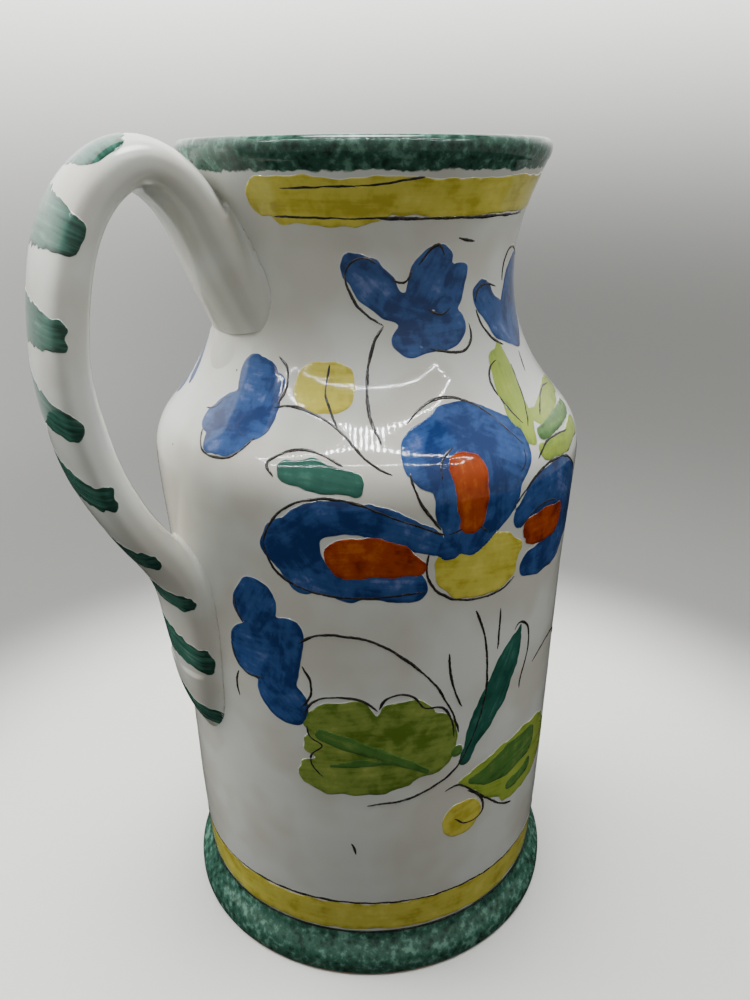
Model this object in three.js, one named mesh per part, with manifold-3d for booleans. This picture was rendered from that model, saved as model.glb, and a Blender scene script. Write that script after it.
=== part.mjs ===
// A tall ceramic pitcher with one strap handle, as the separate clay pieces that a potter
// throws or pulls and then joins with slip before firing. Units are millimetres and +Z is up.
// The origin is on the vessel's axis, on the plane that it stands on, and the handle points
// towards -X.
import * as THREE from 'three';
import { mergeVertices } from 'three/addons/utils/BufferGeometryUtils.js';
import Module from 'manifold-3d';

// Overall sizes
const HEIGHT = 240;
const ROUND_STEPS = 64;

// Foot and floor
const FOOT_RADIUS = 62;
const FOOT_HEIGHT = 14;
const FOOT_BEND_RADIUS = 3;
const FLOOR_RADIUS = 52;
const FLOOR_THICKNESS = 9;
const ARRIS = 1.2;

// Body wall, from the foot to the break of the shoulder
const WALL_FOOT_RADIUS = 57.8;
const WALL_THICKNESS = 5.8;
const BELLY_RADIUS = 63.4;
const BELLY_HEIGHT = 152;
const SHOULDER_RADIUS = 57.6;
const SHOULDER_HEIGHT = 170.5;

// Neck collar, from the shoulder through the waist to the lip
const WAIST_RADIUS = 42.4;
const WAIST_HEIGHT = 206;
const LIP_BASE_RADIUS = 49.9;
const LIP_BASE_HEIGHT = 234.5;
const NECK_THICKNESS = 4.8;

// Rolled lip
const LIP_RADIUS = 51.3;
const LIP_THICKNESS = 5.2;
const LIP_SWELL_HEIGHT = 1.2;
const LIP_BORE_DROP = 2.4;

// Pulled strap handle: its middle line is in the plane y = 0
const STRAP_WIDTH = 28;
const STRAP_THICKNESS = 12;
const STRAP_STEPS = 40;
const STRAP_REACH = 88.2;
const STRAP_CREST = 234.4;
const STRAP_TAIL_HEIGHT = 66;

// Clay wads that lute the strap to the neck and to the belly
const UPPER_WAD = { across: 36, tall: 44, proud: 3.6, height: 203 };
const LOWER_WAD = { across: 40, tall: 80, proud: 3.2, height: 100 };
const WAD_DEPTH_SHARE = 2.6;
const SLIP_GAP = 0.3;

const GLAZE = { white: 0xe9e8e1, green: 0x2f6652, yellow: 0xb9a23c };

function material(colour, roughness) {
  return new THREE.MeshStandardMaterial({ color: colour, roughness, metalness: 0 });
}

// A piece thrown on the wheel: a closed profile of (radius, height) turned about Z
function thrown(profile, steps = ROUND_STEPS) {
  const geometry = new THREE.LatheGeometry([...profile, profile[0]], steps);
  geometry.rotateX(Math.PI / 2);
  return geometry;
}

// The outside of the wall and neck, as curves in (radius, height)
function curve(...points) {
  return new THREE.CubicBezierCurve(...points.map(([r, z]) => new THREE.Vector2(r, z)));
}

const bodyOutside = [
  [curve([WALL_FOOT_RADIUS, FOOT_HEIGHT], [60.6, 45], [59.6, 105], [BELLY_RADIUS, BELLY_HEIGHT]), 6],
  [curve([BELLY_RADIUS, BELLY_HEIGHT], [64, 161], [62.4, 165.4], [SHOULDER_RADIUS, SHOULDER_HEIGHT]), 5],
];
const neckOutside = [
  [curve([SHOULDER_RADIUS, SHOULDER_HEIGHT], [50, 179], [WAIST_RADIUS, 190], [WAIST_RADIUS, WAIST_HEIGHT]), 5],
  [curve([WAIST_RADIUS, WAIST_HEIGHT], [WAIST_RADIUS, 217], [45.7, 225.5], [LIP_BASE_RADIUS, LIP_BASE_HEIGHT]), 4],
];

function outline(parts) {
  const points = [];
  for (const [part, steps] of parts) {
    const stretch = part.getPoints(steps);
    points.push(...(points.length ? stretch.slice(1) : stretch));
  }
  return points;
}

// The same outline, set in by the wall's thickness along the radius
function inside(points, thickness) {
  return points.map((p) => new THREE.Vector2(p.x - thickness, p.y));
}

function shellProfile(points, thickness) {
  return [...points, ...inside(points, thickness).reverse()];
}

// Merged, index-only copy of a geometry as a solid for cutting
const wasm = await Module();
wasm.setup();

function toSolid(geometry) {
  const bare = geometry.clone();
  bare.deleteAttribute('normal');
  bare.deleteAttribute('uv');
  const merged = mergeVertices(bare, 1e-4);
  return new wasm.Manifold(new wasm.Mesh({
    numProp: 3,
    vertProperties: new Float32Array(merged.attributes.position.array),
    triVerts: new Uint32Array(merged.index.array),
  }));
}

function toGeometry(solid) {
  const mesh = solid.getMesh();
  const geometry = new THREE.BufferGeometry();
  geometry.setAttribute('position', new THREE.BufferAttribute(mesh.vertProperties, 3));
  geometry.setIndex(new THREE.BufferAttribute(mesh.triVerts, 1));
  geometry.computeVertexNormals();
  return geometry;
}

// Floor slab: the thrown disc that the wall stands on, flat underneath
function floorGeometry() {
  return thrown([
    new THREE.Vector2(0, 0),
    new THREE.Vector2(FLOOR_RADIUS, 0),
    new THREE.Vector2(FLOOR_RADIUS, FLOOR_THICKNESS),
    new THREE.Vector2(0, FLOOR_THICKNESS),
  ]);
}

// Flared foot: a coil round the slab, rounded at its widest and drawn in to the wall above
function footGeometry() {
  const section = new THREE.Path();
  section.moveTo(FLOOR_RADIUS, 0);
  section.lineTo(FOOT_RADIUS - ARRIS, 0);
  section.lineTo(FOOT_RADIUS, ARRIS);
  section.lineTo(FOOT_RADIUS, FOOT_BEND_RADIUS);
  section.bezierCurveTo(FOOT_RADIUS, 8, WALL_FOOT_RADIUS, 9, WALL_FOOT_RADIUS, FOOT_HEIGHT);
  section.lineTo(FLOOR_RADIUS, FOOT_HEIGHT);
  return thrown(section.getPoints(4));
}

// Rolled lip on the neck: a half-round roll outside, a softened corner inside
function lipGeometry() {
  const low = LIP_BASE_HEIGHT;
  const inner = LIP_BASE_RADIUS - NECK_THICKNESS;
  const section = new THREE.Path();
  section.moveTo(inner, low);
  section.lineTo(LIP_BASE_RADIUS, low);
  const crown = LIP_RADIUS - LIP_THICKNESS / 2;
  const bore = LIP_RADIUS - LIP_THICKNESS;
  section.bezierCurveTo(LIP_RADIUS, low + LIP_SWELL_HEIGHT, LIP_RADIUS + 1, HEIGHT, crown, HEIGHT);
  section.quadraticCurveTo(bore, HEIGHT, bore, HEIGHT - LIP_BORE_DROP);
  return thrown(section.getPoints(4));
}

// The space that the pot fills, grown by the slip gap, for trimming what is stuck on to it
function potEnvelope() {
  const wall = [...outline(bodyOutside), ...outline(neckOutside).slice(1)];
  const grown = wall.map((p) => new THREE.Vector2(p.x + SLIP_GAP, p.y));
  const top = grown[grown.length - 1];
  return toSolid(thrown([
    new THREE.Vector2(0, FOOT_HEIGHT),
    ...grown,
    new THREE.Vector2(LIP_RADIUS + 2 * SLIP_GAP, top.y + 1),
    new THREE.Vector2(LIP_RADIUS + 2 * SLIP_GAP, HEIGHT),
    new THREE.Vector2(0, HEIGHT),
  ]));
}

// Strap: one flat-sided oval section pulled along a hand-shaped loop
function strapGeometry() {
  const end = STRAP_WIDTH / 2 - STRAP_THICKNESS / 2;
  const half = STRAP_THICKNESS / 2;
  const section = new THREE.Shape();
  section.moveTo(-end, -half);
  section.lineTo(end, -half);
  section.absarc(end, 0, half, -Math.PI / 2, Math.PI / 2, false);
  section.lineTo(-end, half);
  section.absarc(-end, 0, half, Math.PI / 2, 1.5 * Math.PI, false);
  const middle = new THREE.CatmullRomCurve3([
    [34, 192],
    [42, 206],
    [50.5, 222],
    [57.5, 231],
    [65.5, STRAP_CREST],
    [76, 229.5],
    [84.2, 215],
    [STRAP_REACH, 189],
    [84.4, 163],
    [75.8, 143.5],
    [67, 129.5],
    [62.8, 112],
    [61.4, 92],
    [58, 78],
    [50, STRAP_TAIL_HEIGHT],
  ].map(([reach, height]) => new THREE.Vector3(-reach, 0, height)), false, 'centripetal');
  return new THREE.ExtrudeGeometry(section, {
    extrudePath: middle,
    steps: STRAP_STEPS,
    curveSegments: 4,
  });
}

// Oval wad pressed on to the wall, standing proud of it all round the strap's end
function wadGeometry(wad, wallRadius, growth) {
  const oval = new THREE.SphereGeometry(1, 28, 16);
  const depth = wad.proud * WAD_DEPTH_SHARE;
  oval.rotateX(Math.PI / 2);
  oval.scale(depth + growth, wad.across / 2 + growth, wad.tall / 2 + growth);
  oval.translate(-(wallRadius + wad.proud - depth), 0, wad.height);
  return oval;
}

function wallRadiusAt(height) {
  const points = [...outline(bodyOutside), ...outline(neckOutside).slice(1)];
  const above = points.findIndex((p) => p.y >= height);
  const low = points[above - 1];
  const high = points[above];
  const share = (height - low.y) / (high.y - low.y);
  return low.x + (high.x - low.x) * share;
}

const pot = potEnvelope();
const upperRadius = wallRadiusAt(UPPER_WAD.height);
const lowerRadius = wallRadiusAt(LOWER_WAD.height);
const upperWad = toSolid(wadGeometry(UPPER_WAD, upperRadius, 0)).subtract(pot);
const lowerWad = toSolid(wadGeometry(LOWER_WAD, lowerRadius, 0)).subtract(pot);
const upperSeat = toSolid(wadGeometry(UPPER_WAD, upperRadius, SLIP_GAP));
const lowerSeat = toSolid(wadGeometry(LOWER_WAD, lowerRadius, SLIP_GAP));
const strap = toSolid(strapGeometry()).subtract(pot).subtract(upperSeat).subtract(lowerSeat);

const neckOutline = outline(neckOutside);
const bodyOutline = outline(bodyOutside);
// The wall thins from the body's thickness to the neck's across the collar
const neckInside = neckOutline.map((p, i) => {
  const share = i / (neckOutline.length - 1);
  const thickness = WALL_THICKNESS + (NECK_THICKNESS - WALL_THICKNESS) * share;
  return new THREE.Vector2(p.x - thickness, p.y);
});

const pieces = [
  ['floor_slab', floorGeometry(), GLAZE.white, 0.5],
  ['flared_foot', footGeometry(), GLAZE.green, 0.25],
  ['body_wall', thrown(shellProfile(bodyOutline, WALL_THICKNESS)), GLAZE.white, 0.15],
  ['neck_collar', thrown([...neckOutline, ...neckInside.reverse()]), GLAZE.white, 0.15],
  ['rolled_lip', lipGeometry(), GLAZE.green, 0.2],
  ['strap_handle', toGeometry(strap), GLAZE.white, 0.15],
  ['upper_handle_luting', toGeometry(upperWad), GLAZE.white, 0.2],
  ['lower_handle_luting', toGeometry(lowerWad), GLAZE.white, 0.2],
];

const pitcher = new THREE.Group();
for (const [name, geometry, colour, roughness] of pieces) {
  const mesh = new THREE.Mesh(geometry, material(colour, roughness));
  mesh.name = name;
  pitcher.add(mesh);
}

export default pitcher;
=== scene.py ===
import math

import bpy
import numpy as np
from mathutils import Matrix, Vector


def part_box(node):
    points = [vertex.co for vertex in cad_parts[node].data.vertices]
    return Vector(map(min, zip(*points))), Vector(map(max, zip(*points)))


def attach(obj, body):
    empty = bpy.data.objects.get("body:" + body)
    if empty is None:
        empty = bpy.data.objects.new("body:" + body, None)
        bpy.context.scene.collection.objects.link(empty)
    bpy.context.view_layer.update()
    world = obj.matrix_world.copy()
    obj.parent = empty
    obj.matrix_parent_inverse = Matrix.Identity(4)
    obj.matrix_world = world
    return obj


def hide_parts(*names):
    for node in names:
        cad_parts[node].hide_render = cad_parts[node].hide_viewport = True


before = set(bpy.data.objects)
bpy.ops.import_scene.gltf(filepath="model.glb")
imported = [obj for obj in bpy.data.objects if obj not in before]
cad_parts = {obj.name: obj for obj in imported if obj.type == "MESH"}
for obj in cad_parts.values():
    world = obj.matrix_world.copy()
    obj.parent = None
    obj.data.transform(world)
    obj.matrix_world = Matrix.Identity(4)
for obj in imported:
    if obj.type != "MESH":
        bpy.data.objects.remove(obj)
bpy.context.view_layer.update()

# Floor slab. A disc of buff earthenware beaten flat on the wheel head and cut free with a wire.
# It is bare underneath, where the wire left shallow arcs, and glazed inside with the rest.
MM = 0.001
FULL_TURN = 2 * math.pi
TURN_STEPS = 384


def hand_waver(angle, height):
    """How far a thrown wall strays from true, in mm: slow ovals, a lean, and the fingers' rings."""
    ovals = 0.2 * np.sin(2 * angle + 0.7) + 0.13 * np.sin(3 * angle - height / 38)
    finger_rings = 0.012 * np.sin(height / 1.2 + 2 * angle) + 0.03 * np.sin(height / 4.1 - angle)
    return ovals + finger_rings


def solid(name, points, faces, body="root"):
    """A smooth-shaded piece, from points in metres, that rides on the pitcher."""
    mesh = bpy.data.meshes.new(name)
    mesh.from_pydata([tuple(p) for p in np.asarray(points, float)], [], faces)
    mesh.update()
    mesh.shade_smooth()
    piece = bpy.data.objects.new(name, mesh)
    bpy.context.scene.collection.objects.link(piece)
    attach(piece, body)
    return piece


def sheet(rings_made, sides, closed=False):
    """Four-sided faces over rings of points laid one after another."""
    faces = []
    for ring in range(rings_made if closed else rings_made - 1):
        here, further = ring * sides, (ring + 1) % rings_made * sides
        for i in range(sides):
            j = (i + 1) % sides
            faces.append((here + i, here + j, further + j, further + i))
    return faces


def turned(name, profile):
    """A solid turned about the axis from (radius, height) points in mm, going anticlockwise round
    the section. A profile that starts and ends on the axis gets one point at each pole."""
    profile = np.asarray(profile, float)
    poles = profile[0][0] == 0
    body = profile[1:-1] if poles else profile
    angle = np.linspace(0, FULL_TURN, TURN_STEPS, endpoint=False)
    radius = body[:, 0, None] + hand_waver(angle, body[:, 1, None]) * (body[:, 0, None] / 60)
    height = np.repeat(body[:, 1, None], TURN_STEPS, 1)
    points = np.stack([radius * np.cos(angle), radius * np.sin(angle), height], -1).reshape(-1, 3)
    count = len(body)
    faces = sheet(count, TURN_STEPS, closed=not poles)
    if poles:
        first, last = len(points), len(points) + 1
        points = np.vstack([points, [0, 0, profile[0][1]], [0, 0, profile[-1][1]]])
        top = (count - 1) * TURN_STEPS
        for i in range(TURN_STEPS):
            j = (i + 1) % TURN_STEPS
            faces.append((j, i, first))
            faces.append((top + i, top + j, last))
    piece = solid(name, points * MM, faces)
    piece.data.set_sharp_from_angle(angle=math.radians(38))
    return piece


def stretch(*controls, spacing=1.4):
    """Points in mm along a straight or Bezier stretch of a profile, without the last."""
    controls = np.array(controls, float)
    length = np.hypot(*np.diff(controls, axis=0).T).sum()
    count = max(1, round(length / spacing))
    shares = np.arange(count)[:, None] / count
    controls = np.repeat(controls[:, None], count, 1)
    while len(controls) > 1:
        controls = controls[:-1] * (1 - shares) + controls[1:] * shares
    return [tuple(p) for p in controls[0]]


def srgb(hex_colour):
    """An sRGB hex colour as linear RGBA."""
    levels = [int(hex_colour[i:i + 2], 16) / 255 for i in (1, 3, 5)]
    return tuple(v / 12.92 if v <= 0.04045 else ((v + 0.055) / 1.055) ** 2.4 for v in levels) + (1.0,)


def add(tree, kind, sockets=None, out=0, **settings):
    """Adds one shader node with its settings, and returns one of its outputs. Each socket is set to
    a value, or linked where it is given another node's output."""
    made = tree.nodes.new("ShaderNode" + kind)
    for key, value in settings.items():
        setattr(made, key, value)
    for key, value in (sockets or {}).items():
        if isinstance(value, bpy.types.NodeSocket):
            tree.links.new(value, made.inputs[key])
        else:
            made.inputs[key].default_value = value
    return made.outputs[out] if len(made.outputs) else None


def new_material(name):
    material = bpy.data.materials.new(name)
    material.use_nodes = True
    material.node_tree.nodes.clear()
    return material, material.node_tree


EASED = {"interpolation_type": "SMOOTHSTEP"}
COLOURS = {"data_type": "RGBA", "out": 2}
BARE_CLAY = "#B79A7C"
BARE_CLAY_DARK = "#8F7357"
CLAY_ROUGHNESS = 0.86
CLAY_IOR = 1.45
ARCS_PER_MM = 0.042


def bare_earthenware():
    """Bisque earthenware, wire-cut and never glazed: matt, gritty, and a little darker in its arcs."""
    material, tree = new_material("bare_wire_cut_earthenware")
    place = add(tree, "TexCoord", out="Object")
    offset = add(tree, "VectorMath", {0: place, 1: (90 * MM, 20 * MM, 0)}, operation="ADD")
    arcs = add(tree, "TexWave", {"Vector": offset, "Scale": ARCS_PER_MM / MM, "Distortion": 1.2, "Detail": 2},
               out="Fac", wave_type="RINGS", rings_direction="Z")
    grit = add(tree, "TexNoise", {"Vector": place, "Scale": 1 / (0.7 * MM), "Detail": 3, "Roughness": 0.55})
    patches = add(tree, "TexNoise", {"Vector": place, "Scale": 1 / (18 * MM), "Detail": 3, "Roughness": 0.55})
    tone = add(tree, "Math", {0: arcs, 1: 0.25, 2: patches}, operation="MULTIPLY_ADD")
    pale = add(tree, "MapRange", {0: tone, 1: 0.35, 2: 0.85}, **EASED)
    colour = add(tree, "Mix", {0: pale, 6: srgb(BARE_CLAY_DARK), 7: srgb(BARE_CLAY)}, **COLOURS)
    relief = add(tree, "Math", {0: arcs, 1: 0.8, 2: grit}, operation="MULTIPLY_ADD")
    bump = add(tree, "Bump", {"Height": relief, "Distance": 0.12 * MM, "Strength": 1.0})
    shader = add(tree, "BsdfPrincipled", {
        "Base Color": colour, "Roughness": CLAY_ROUGHNESS, "IOR": CLAY_IOR, "Normal": bump})
    add(tree, "OutputMaterial", {"Surface": shader})
    return material


TIN_WHITE = "#E3E5DF"
TIN_WHITE_THIN = "#D6D4C9"
PINHOLE = "#6E675C"
PINHOLES_PER_MM = 0.13
GLAZE_ROUGHNESS = 0.055
GLAZE_IOR = 1.5
RUN_SIZE, RUN_DEPTH = 17, 0.17
PEEL_SIZE, PEEL_DEPTH = 1.9, 0.006
RIDGE_DEPTH = 0.03


def tin_white(tree, place):
    """The colour of an opaque tin glaze: milky white, warmer where it ran thin, with rare pinholes."""
    pooled = add(tree, "TexNoise", {"Vector": place, "Scale": 1 / (26 * MM), "Detail": 2, "Roughness": 0.55})
    thick = add(tree, "MapRange", {0: pooled, 1: 0.38, 2: 0.62}, **EASED)
    white = add(tree, "Mix", {0: thick, 6: srgb(TIN_WHITE_THIN), 7: srgb(TIN_WHITE)}, **COLOURS)
    away = add(tree, "TexVoronoi", {"Vector": place, "Scale": PINHOLES_PER_MM / MM, "Randomness": 1.0})
    near = add(tree, "MapRange", {0: away, 1: 0.03, 2: 0.05, 3: 1.0, 4: 0.0}, **EASED)
    chance = add(tree, "SeparateColor", {0: away.node.outputs["Color"]})
    chosen = add(tree, "MapRange", {0: chance, 1: 0.93, 2: 0.94}, **EASED)
    hole = add(tree, "Math", {0: near, 1: chosen}, operation="MULTIPLY")
    return add(tree, "Mix", {0: hole, 6: white, 7: srgb(PINHOLE)}, **COLOURS)


def fired_glaze(tree, place, colour, ridges=None):
    """A fired lead-and-tin glaze over colour: a hard clear skin with an IOR a little above glass, in
    slow runs with a fine orange peel, which stands up a little over ridges of colour."""
    runs = add(tree, "TexNoise", {
        "Vector": place, "Scale": 1 / (RUN_SIZE * MM), "Detail": 1.5, "Roughness": 0.55})
    peel = add(tree, "TexNoise", {
        "Vector": place, "Scale": 1 / (PEEL_SIZE * MM), "Detail": 1, "Roughness": 0.55})
    normal = add(tree, "Bump", {"Height": runs, "Distance": RUN_DEPTH * MM, "Strength": 1.0})
    normal = add(tree, "Bump", {
        "Height": peel, "Distance": PEEL_DEPTH * MM, "Strength": 1.0, "Normal": normal})
    if ridges is not None:
        normal = add(tree, "Bump", {
            "Height": ridges, "Distance": RIDGE_DEPTH * MM, "Strength": 1.0, "Normal": normal})
    return add(tree, "BsdfPrincipled", {
        "Base Color": colour, "Roughness": GLAZE_ROUGHNESS, "IOR": GLAZE_IOR, "Normal": normal})


def tin_glaze():
    """Opaque tin glaze over earthenware, dipped and fired: bright, milky and softly uneven."""
    material, tree = new_material("white_tin_glaze")
    place = add(tree, "TexCoord", out="Object")
    add(tree, "OutputMaterial", {"Surface": fired_glaze(tree, place, tin_white(tree, place))})
    return material


white_glaze = tin_glaze()
bare_clay = bare_earthenware()

slab_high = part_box("floor_slab")[1]
SLAB_RADIUS = slab_high.x / MM
SLAB_TOP = slab_high.z / MM
FOOT_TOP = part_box("flared_foot")[1].z / MM
CORNER = 6.0

slab_profile = (
    stretch((0, 0), (SLAB_RADIUS, 0), spacing=3)
    + stretch((SLAB_RADIUS, 0), (SLAB_RADIUS, FOOT_TOP))
    + stretch((SLAB_RADIUS, FOOT_TOP), (SLAB_RADIUS, SLAB_TOP), (SLAB_RADIUS - CORNER, SLAB_TOP), spacing=0.8)
    + stretch((SLAB_RADIUS - CORNER, SLAB_TOP), (0, SLAB_TOP), spacing=3)
    + [(0, SLAB_TOP)]
)
floor_slab = turned("floor_slab_glazed_inside", slab_profile)
floor_slab.data.materials.append(white_glaze)
floor_slab.data.materials.append(bare_clay)
for face in floor_slab.data.polygons:
    face.material_index = 1 if face.center.z < 0.2 * MM else 0
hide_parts("floor_slab")

# Flared foot. A coil of clay turned on round the slab, drawn in to the wall above. It is sponged
# with copper green over the tin glaze, and wiped bare on the ring that stands on the table.
SPONGE_DEEP = "#22382F"
SPONGE_FULL = "#35594B"
SPONGE_LIGHT = "#658F7E"
FOOT_BEND = 3.0
ARRIS = 1.2
BARE_RING_HEIGHT = 0.9
PORES_PER_MM = 0.42
DRIFT, DRIFT_SIZE = 1.6, 10 / 3


def sponge_green(tree, place):
    """Copper green dabbed on with a sponge: dark pads 2 to 3 mm across with paler pores between."""
    drift = add(tree, "TexNoise", {"Vector": place, "Scale": 1 / (DRIFT_SIZE * MM), "Detail": 2}, out="Color")
    pushed = add(tree, "VectorMath", {0: drift, 1: (DRIFT * MM,) * 3, 2: place}, operation="MULTIPLY_ADD")
    pores = add(tree, "TexVoronoi", {"Vector": pushed, "Scale": PORES_PER_MM / MM, "Smoothness": 0.7},
                feature="SMOOTH_F1")
    grain = add(tree, "TexNoise", {"Vector": place, "Scale": 1 / (1.5 * MM), "Detail": 4, "Roughness": 0.65})
    presses = add(tree, "TexNoise", {"Vector": place, "Scale": 1 / (9 * MM), "Detail": 2, "Roughness": 0.55})
    tone = add(tree, "Math", {0: pores, 1: 0.55, 2: grain}, operation="MULTIPLY_ADD")
    tone = add(tree, "Math", {0: presses, 1: 0.5, 2: tone}, operation="MULTIPLY_ADD")
    filled = add(tree, "MapRange", {0: tone, 1: 0.72, 2: 1.0}, **EASED)
    dark = add(tree, "Mix", {0: filled, 6: srgb(SPONGE_DEEP), 7: srgb(SPONGE_FULL)}, **COLOURS)
    bare = add(tree, "MapRange", {0: tone, 1: 1.0, 2: 1.3}, **EASED)
    return add(tree, "Mix", {0: bare, 6: dark, 7: srgb(SPONGE_LIGHT)}, **COLOURS)


def above(tree, place, height_mm, soft_mm, ragged_mm, blotch_mm):
    """A share from 0 to 1 across a height, with a ragged edge."""
    height = add(tree, "SeparateXYZ", {0: place}, out="Z")
    ragged = add(tree, "TexNoise", {
        "Vector": place, "Scale": 1 / (blotch_mm * MM), "Detail": 2, "Roughness": 0.55})
    moved = add(tree, "Math", {0: ragged, 1: ragged_mm * MM, 2: height}, operation="MULTIPLY_ADD")
    middle = (height_mm + ragged_mm / 2) * MM
    half = soft_mm * MM / 2
    return add(tree, "MapRange", {0: moved, 1: middle - half, 2: middle + half}, **EASED)


RING_ROUGHNESS = 0.85


def sponged_glaze(name, bare_below=None, white_below=None):
    """Green sponged on raw tin glaze and fired with it, so that it sinks in and stays glossy."""
    material, tree = new_material(name)
    place = add(tree, "TexCoord", out="Object")
    colour = sponge_green(tree, place)
    if white_below is not None:
        share = above(tree, place, white_below, 0.5, 2.4, 3.0)
        colour = add(tree, "Mix", {0: share, 6: tin_white(tree, place), 7: colour}, **COLOURS)
    surface = fired_glaze(tree, place, colour)
    if bare_below is not None:
        share = above(tree, place, bare_below, 0.15, 0.8, 6.0)
        clay = add(tree, "BsdfPrincipled", {
            "Base Color": srgb(BARE_CLAY), "Roughness": RING_ROUGHNESS, "IOR": CLAY_IOR})
        surface = add(tree, "MixShader", {0: share, 1: clay, 2: surface})
    add(tree, "OutputMaterial", {"Surface": surface})
    return material


def rings(node):
    """Height, outer radius and inner radius, in mm, at each ring of a CAD piece turned on the wheel."""
    radii = {}
    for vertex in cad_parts[node].data.vertices:
        radii.setdefault(round(vertex.co.z / MM, 2), []).append(math.hypot(vertex.co.x, vertex.co.y) / MM)
    return [(height, max(found), min(found)) for height, found in sorted(radii.items())]


def smooth_curve(places, values):
    """A natural cubic spline through the points, as a function of place."""
    x, y = np.asarray(places, float), np.asarray(values, float)
    step = np.diff(x)
    rows, right = np.eye(len(x)), np.zeros(y.shape)
    for i in range(1, len(x) - 1):
        rows[i, i - 1:i + 2] = step[i - 1], 2 * (step[i - 1] + step[i]), step[i]
        right[i] = 6 * ((y[i + 1] - y[i]) / step[i] - (y[i] - y[i - 1]) / step[i - 1])
    bend = np.linalg.solve(rows, right)

    def at(place):
        place = np.clip(place, x[0], x[-1])
        i = np.clip(np.searchsorted(x, place) - 1, 0, len(step) - 1)
        low, high = (x[i + 1] - place) / step[i], (place - x[i]) / step[i]
        span = step[i]
        if y.ndim > 1:
            low, high, span = low[..., None], high[..., None], span[..., None]
        curved = ((low ** 3 - low) * bend[i] + (high ** 3 - high) * bend[i + 1]) * span ** 2 / 6
        return low * y[i] + high * y[i + 1] + curved

    return at


wall_rings = rings("body_wall") + rings("neck_collar")[1:]
outside = smooth_curve([ring[0] for ring in wall_rings], [ring[1] for ring in wall_rings])

FOOT_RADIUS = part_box("flared_foot")[1].x / MM
foot_wall = float(outside(FOOT_TOP))
foot_profile = (
    stretch((SLAB_RADIUS, 0), (FOOT_RADIUS - ARRIS, 0))
    + stretch((FOOT_RADIUS - ARRIS, 0), (FOOT_RADIUS, 0), (FOOT_RADIUS, ARRIS), spacing=0.3)
    + stretch((FOOT_RADIUS, ARRIS), (FOOT_RADIUS, FOOT_BEND), spacing=0.8)
    + stretch((FOOT_RADIUS, FOOT_BEND), (FOOT_RADIUS, 8), (foot_wall, 9), (foot_wall, FOOT_TOP), spacing=0.7)
    + stretch((foot_wall, FOOT_TOP), (SLAB_RADIUS, FOOT_TOP))
    + stretch((SLAB_RADIUS, FOOT_TOP), (SLAB_RADIUS, 0))
)
flared_foot = turned("flared_foot_sponged", foot_profile)
flared_foot.data.materials.append(sponged_glaze("sponged_green_foot", bare_below=BARE_RING_HEIGHT))
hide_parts("flared_foot")

# Body wall. Thrown as a cylinder from the foot to the break of the shoulder, about 6 mm thick,
# and dipped in tin glaze inside and out.
SHOULDER = rings("body_wall")[-1][0]
WALL_LOW, WALL_HIGH = wall_rings[0][0], wall_rings[-1][0]
inside = smooth_curve([ring[0] for ring in wall_rings], [ring[2] for ring in wall_rings])


def shell(low, high, spacing):
    """The wall's closed section between two heights: up the outside and down the inside."""
    heights = np.linspace(low, high, max(2, round((high - low) / spacing)))
    up = [(float(outside(h)), h) for h in heights]
    down = [(float(inside(h)), h) for h in heights[::-1]]
    over = stretch(up[-1], down[0])[1:]
    under = stretch(down[-1], up[0])[1:]
    return up + over + down + under


body_wall = turned("body_wall_glazed", shell(WALL_LOW, SHOULDER, 1.4))
body_wall.data.materials.append(white_glaze)
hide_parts("body_wall")

# Neck collar. Thrown apart, stuck on the shoulder with slip and smoothed over, so no seam shows.
# The green sponged on the lip runs down on to it.
SPONGE_EDGE = 232.4

neck_collar = turned("neck_collar_glazed", shell(SHOULDER, WALL_HIGH, 1.0))
neck_collar.data.materials.append(sponged_glaze("white_glaze_green_edge", white_below=SPONGE_EDGE))
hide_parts("neck_collar")

# Rolled lip. The top of the collar, turned over and rounded with a wet leather while it spun, so
# that it is thicker than the wall. It is sponged green inside and out, over the tin glaze.
lip_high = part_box("rolled_lip")[1]
LIP_RADIUS, LIP_TOP = lip_high.x / MM, lip_high.z / MM
LIP_CROWN = LIP_RADIUS - 2.5
LIP_BORE = LIP_RADIUS - 5.0
lip_outside, lip_inside = float(outside(WALL_HIGH)), float(inside(WALL_HIGH))
lip_profile = (
    stretch((lip_outside, WALL_HIGH), (LIP_RADIUS - 0.2, WALL_HIGH + 1.2), (LIP_RADIUS + 0.9, LIP_TOP),
            (LIP_CROWN, LIP_TOP), spacing=0.35)
    + stretch((LIP_CROWN, LIP_TOP), (LIP_BORE, LIP_TOP), (LIP_BORE, LIP_TOP - 2.4), spacing=0.35)
    + stretch((LIP_BORE, LIP_TOP - 2.4), (lip_inside, WALL_HIGH), spacing=0.7)
    + stretch((lip_inside, WALL_HIGH), (lip_outside, WALL_HIGH))
)
rolled_lip = turned("rolled_lip_sponged", lip_profile)
rolled_lip.data.materials.append(sponged_glaze("sponged_green_lip"))
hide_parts("rolled_lip")

# Lutings. Two wads of soft clay thumbed flat on the wall under the handle's ends, which key the
# strap to the pot. The glaze runs over them, so they show as low swellings with soft edges.
WADS = {
    "upper_handle_luting": {"height": 203, "across": 36, "tall": 44, "proud": 1.0},
    "lower_handle_luting": {"height": 100, "across": 40, "tall": 80, "proud": 0.8},
}
WAD_RINGS, WAD_STEPS = 22, 96


def swelling(offset, height):
    """How far the wads lift the wall's face, in mm, at an arc's offset from the handle's line."""
    lift = np.zeros(np.broadcast(offset, height).shape)
    for wad in WADS.values():
        reach = np.hypot(offset / (wad["across"] / 2), (height - wad["height"]) / (wad["tall"] / 2))
        lift = lift + wad["proud"] * np.clip(1 - reach ** 2, 0, 1) ** 2
    return lift


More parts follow.
